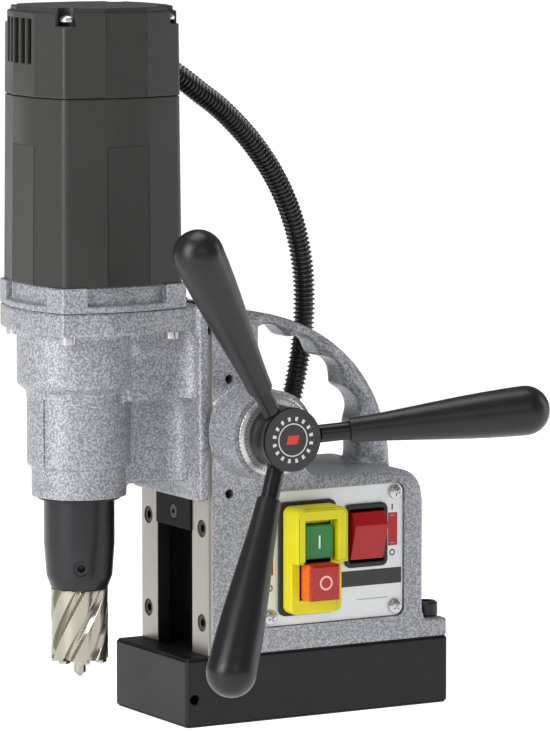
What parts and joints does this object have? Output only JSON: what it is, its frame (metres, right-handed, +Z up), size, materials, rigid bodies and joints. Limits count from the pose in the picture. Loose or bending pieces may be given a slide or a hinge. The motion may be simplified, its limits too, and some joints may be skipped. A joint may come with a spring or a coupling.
{
  "type": "magnetic drill press",
  "caption": "Portable drill press on an electromagnet foot: geared motor head on a rack-fed slide, annular cutter, three-arm feed lever, carrying handle and switch box.",
  "frame": {"origin": "centre of the magnet's underside, on the surface the machine is clamped to", "axes": "+Z up along the spindle, drill head towards -X and carrying handle towards +X, controls on the -Y side"},
  "size_m": [0.2476, 0.1767, 0.377],
  "materials": {
    "magnet_black": "satin",
    "winding_copper": "satin",
    "potting_resin": "satin",
    "blackened_steel": "satin",
    "hammered_paint": "hammered",
    "ground_steel": "ground",
    "brass": "satin",
    "panel_silver": "matt",
    "bright_screws": "polished",
    "gasket_rubber": "matt",
    "switch_yellow": "satin",
    "button_green": "satin",
    "button_red": "satin",
    "black_plastic": "satin",
    "board_green": "satin",
    "conduit_black": "satin",
    "slide_black": "satin",
    "machined_steel": "machined",
    "bearing_steel": "polished",
    "motor_charcoal": "fine grain",
    "fan_white": "satin",
    "carbon": "matt",
    "arbor_black": "satin",
    "cutter_steel": "ground",
    "scale_silver": "satin",
    "lever_black": "gloss",
    "grip_black": "satin"
  },
  "bodies": {
    "frame": {"magnet_body": "magnet_black", "magnet_coil": "winding_copper", "magnet_potting": "potting_resin", "frame_screws": "blackened_steel", "frame_casting": "hammered_paint", "rail_left": "ground_steel", "rail_right": "ground_steel", "rail_screws": "blackened_steel", "gib_strip": "brass", "gib_screws": "blackened_steel", "shaft_bushes": "brass", "front_panel": "panel_silver", "rear_cover": "hammered_paint", "panel_screws": "bright_screws", "switch_gasket": "gasket_rubber", "switch_housing": "switch_yellow", "switch_block": "black_plastic", "magnet_switch": "black_plastic", "circuit_board": "board_green", "cable_inlet": "black_plastic", "box_gland": "black_plastic", "conduit": "conduit_black"},
    "head": {"slide_block": "slide_black", "rack": "machined_steel", "rack_screws": "blackened_steel", "slide_screws": "blackened_steel", "gear_case": "hammered_paint", "gear_plate": "hammered_paint", "flange_bolts": "bright_screws", "oil_seal": "gasket_rubber", "spindle_bearings": "bearing_steel", "intermediate_bearings": "bearing_steel", "motor_shell": "motor_charcoal", "motor_cap": "motor_charcoal", "cap_screws": "bright_screws", "motor_bearings": "bearing_steel", "stator": "machined_steel", "brush_holders": "black_plastic", "carbon_brushes": "carbon", "motor_gland": "black_plastic"},
    "lever": {"pinion_shaft": "machined_steel", "shaft_circlip": "blackened_steel", "lever_hub": "lever_black", "hub_cap": "lever_black", "lever_rods": "lever_black", "lever_grips": "grip_black"},
    "scale": {"scale_ring": "scale_silver"},
    "armature": {"armature": "machined_steel", "commutator": "winding_copper", "cooling_fan": "fan_white"},
    "intermediate": {"intermediate_gears": "machined_steel"},
    "spindle": {"spindle": "arbor_black", "spindle_gear": "machined_steel", "set_screws": "blackened_steel", "cutter": "cutter_steel", "ejector_spring": "machined_steel"},
    "pilot": {"pilot_pin": "cutter_steel"},
    "start": {"start_button": "button_green"},
    "stop": {"stop_button": "button_red"},
    "rocker": {"magnet_rocker": "button_red"}
  },
  "joints": [
    {"name": "head_slide", "type": "slide", "parent": "frame", "child": "head", "axis": [0, 0, 1], "range_m": [-0.062, 0.046], "deforming": ["conduit"]},
    {"name": "lever_turn", "type": "hinge", "parent": "frame", "child": "lever", "pos_m": [-0.044, 0, 0.1555], "axis": [0, 1, 0], "range_deg": [-339, 252]},
    {"name": "scale_set", "type": "hinge", "parent": "lever", "child": "scale", "pos_m": [-0.044, 0, 0.1555], "axis": [0, 1, 0], "range_deg": [-180, 180]},
    {"name": "spindle_spin", "type": "hinge", "parent": "head", "child": "spindle", "pos_m": [-0.122, 0, 0], "axis": [0, 0, 1], "continuous": true},
    {"name": "intermediate_spin", "type": "hinge", "parent": "head", "child": "intermediate", "pos_m": [-0.0923, 0, 0], "axis": [0, 0, 1], "continuous": true},
    {"name": "armature_spin", "type": "hinge", "parent": "head", "child": "armature", "pos_m": [-0.1135, 0, 0], "axis": [0, 0, 1], "continuous": true},
    {"name": "pilot_slide", "type": "slide", "parent": "spindle", "child": "pilot", "axis": [0, 0, 1], "range_m": [0, 0.028], "stiffness_N_per_m": 350, "springref_m": -0.02, "deforming": ["ejector_spring"]},
    {"name": "start_press", "type": "slide", "parent": "frame", "child": "start", "axis": [0, 1, 0], "range_m": [0, 0.0025], "stiffness_N_per_m": 500, "springref_m": -0.002},
    {"name": "stop_press", "type": "slide", "parent": "frame", "child": "stop", "axis": [0, 1, 0], "range_m": [0, 0.0025], "stiffness_N_per_m": 500, "springref_m": -0.002},
    {"name": "rocker_tilt", "type": "hinge", "parent": "frame", "child": "rocker", "pos_m": [0.0291, -0.036, 0.0942], "axis": [1, 0, 0], "range_deg": [-14, 0]}
  ],
  "couplings": [
    {"joint": "lever_turn", "follows": "head_slide", "rad_per_m": 95.238},
    {"joint": "intermediate_spin", "follows": "spindle_spin", "ratio": -3.8},
    {"joint": "armature_spin", "follows": "spindle_spin", "ratio": 16.34}
  ]
}
